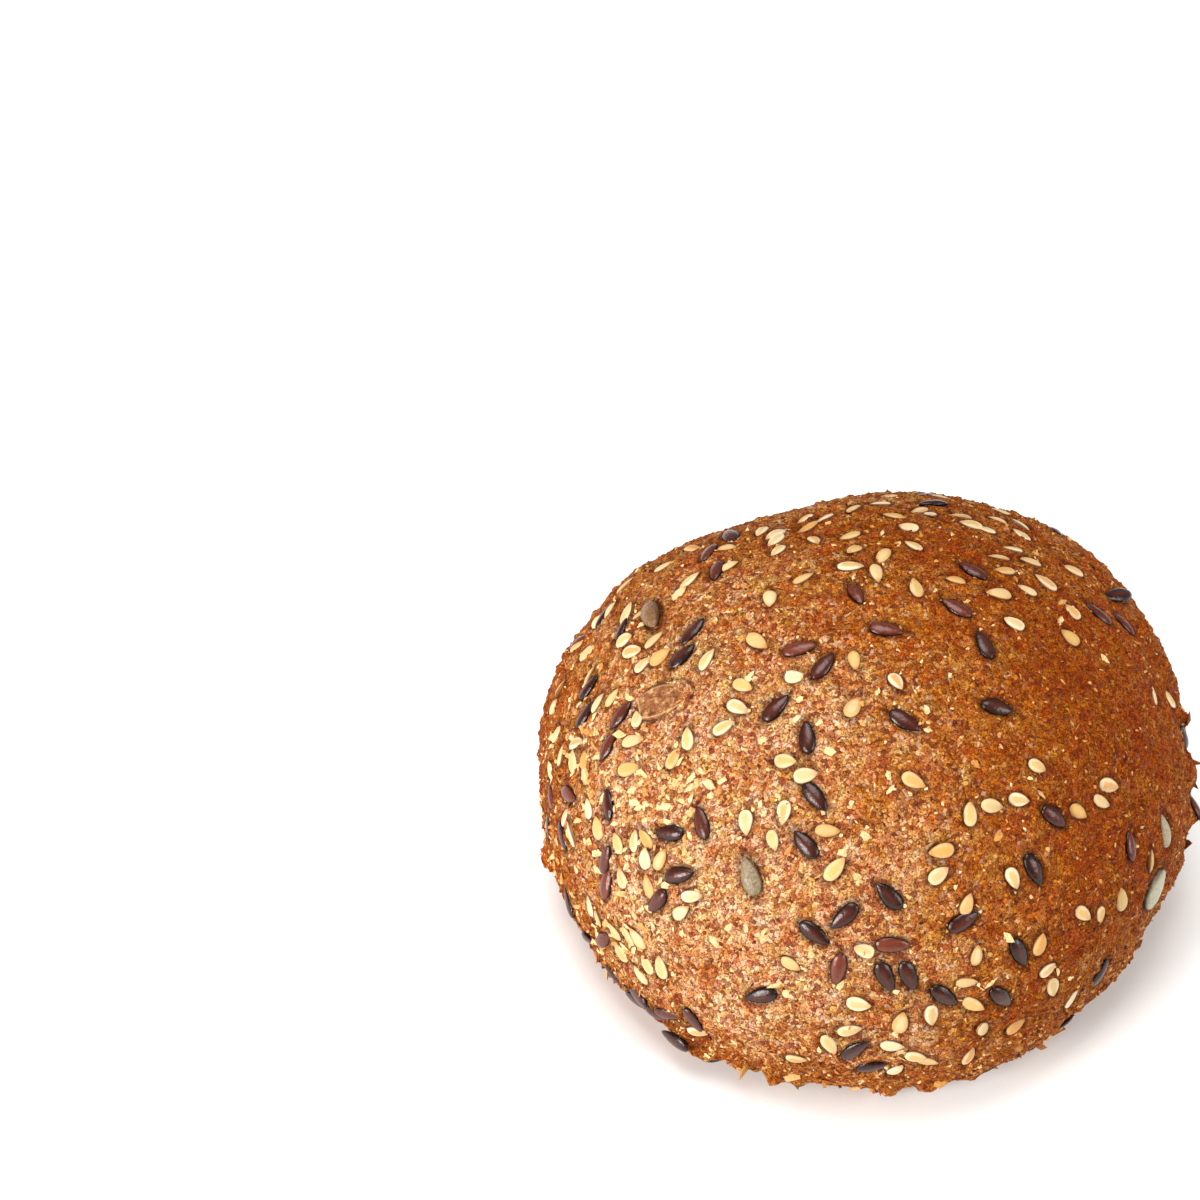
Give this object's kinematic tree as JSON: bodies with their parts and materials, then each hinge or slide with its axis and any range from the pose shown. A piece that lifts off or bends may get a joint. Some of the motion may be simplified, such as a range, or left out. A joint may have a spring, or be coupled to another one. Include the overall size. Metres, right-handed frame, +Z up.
{
  "type": "bread roll",
  "caption": "Round seeded wholemeal bread roll with a domed rough crust and a small flat base, topped with linseeds and kernels.",
  "frame": {"origin": "middle of the flat base, under the middle of the roll's extent", "axes": "+Z up through the dome, +X to the roll's right, -Y to its front"},
  "size_m": [0.1018, 0.1018, 0.0584],
  "materials": {
    "crust": null,
    "linseed": "satin seed coat",
    "sunflower_kernel": "dry matt kernel",
    "pumpkin_seed": "dry matt seed coat"
  },
  "bodies": {
    "root": {"roll": "crust", "linseed_1": "linseed", "linseed_2": "linseed", "linseed_3": "linseed", "linseed_4": "linseed", "linseed_5": "linseed", "linseed_6": "linseed", "linseed_7": "linseed", "linseed_8": "linseed", "linseed_9": "linseed", "linseed_10": "linseed", "linseed_11": "linseed", "linseed_12": "linseed", "linseed_13": "linseed", "linseed_14": "linseed", "linseed_15": "linseed", "linseed_16": "linseed", "linseed_17": "linseed", "linseed_18": "linseed", "linseed_19": "linseed", "linseed_20": "linseed", "linseed_21": "linseed", "linseed_22": "linseed", "linseed_23": "linseed", "linseed_24": "linseed", "linseed_25": "linseed", "linseed_26": "linseed", "linseed_27": "linseed", "linseed_28": "linseed", "linseed_29": "linseed", "linseed_30": "linseed", "linseed_31": "linseed", "linseed_32": "linseed", "linseed_33": "linseed", "linseed_34": "linseed", "linseed_35": "linseed", "linseed_36": "linseed", "linseed_37": "linseed", "linseed_38": "linseed", "linseed_39": "linseed", "linseed_40": "linseed", "linseed_41": "linseed", "linseed_42": "linseed", "linseed_43": "linseed", "linseed_44": "linseed", "linseed_45": "linseed", "linseed_46": "linseed", "linseed_47": "linseed", "linseed_48": "linseed", "linseed_49": "linseed", "linseed_50": "linseed", "linseed_51": "linseed", "linseed_52": "linseed", "linseed_53": "linseed", "linseed_54": "linseed", "linseed_55": "linseed", "pumpkin_seed_1": "pumpkin_seed", "small_pumpkin_seed_1": "pumpkin_seed", "sunflower_kernel_1": "sunflower_kernel", "sunflower_kernel_2": "sunflower_kernel"}
  },
  "joints": []
}
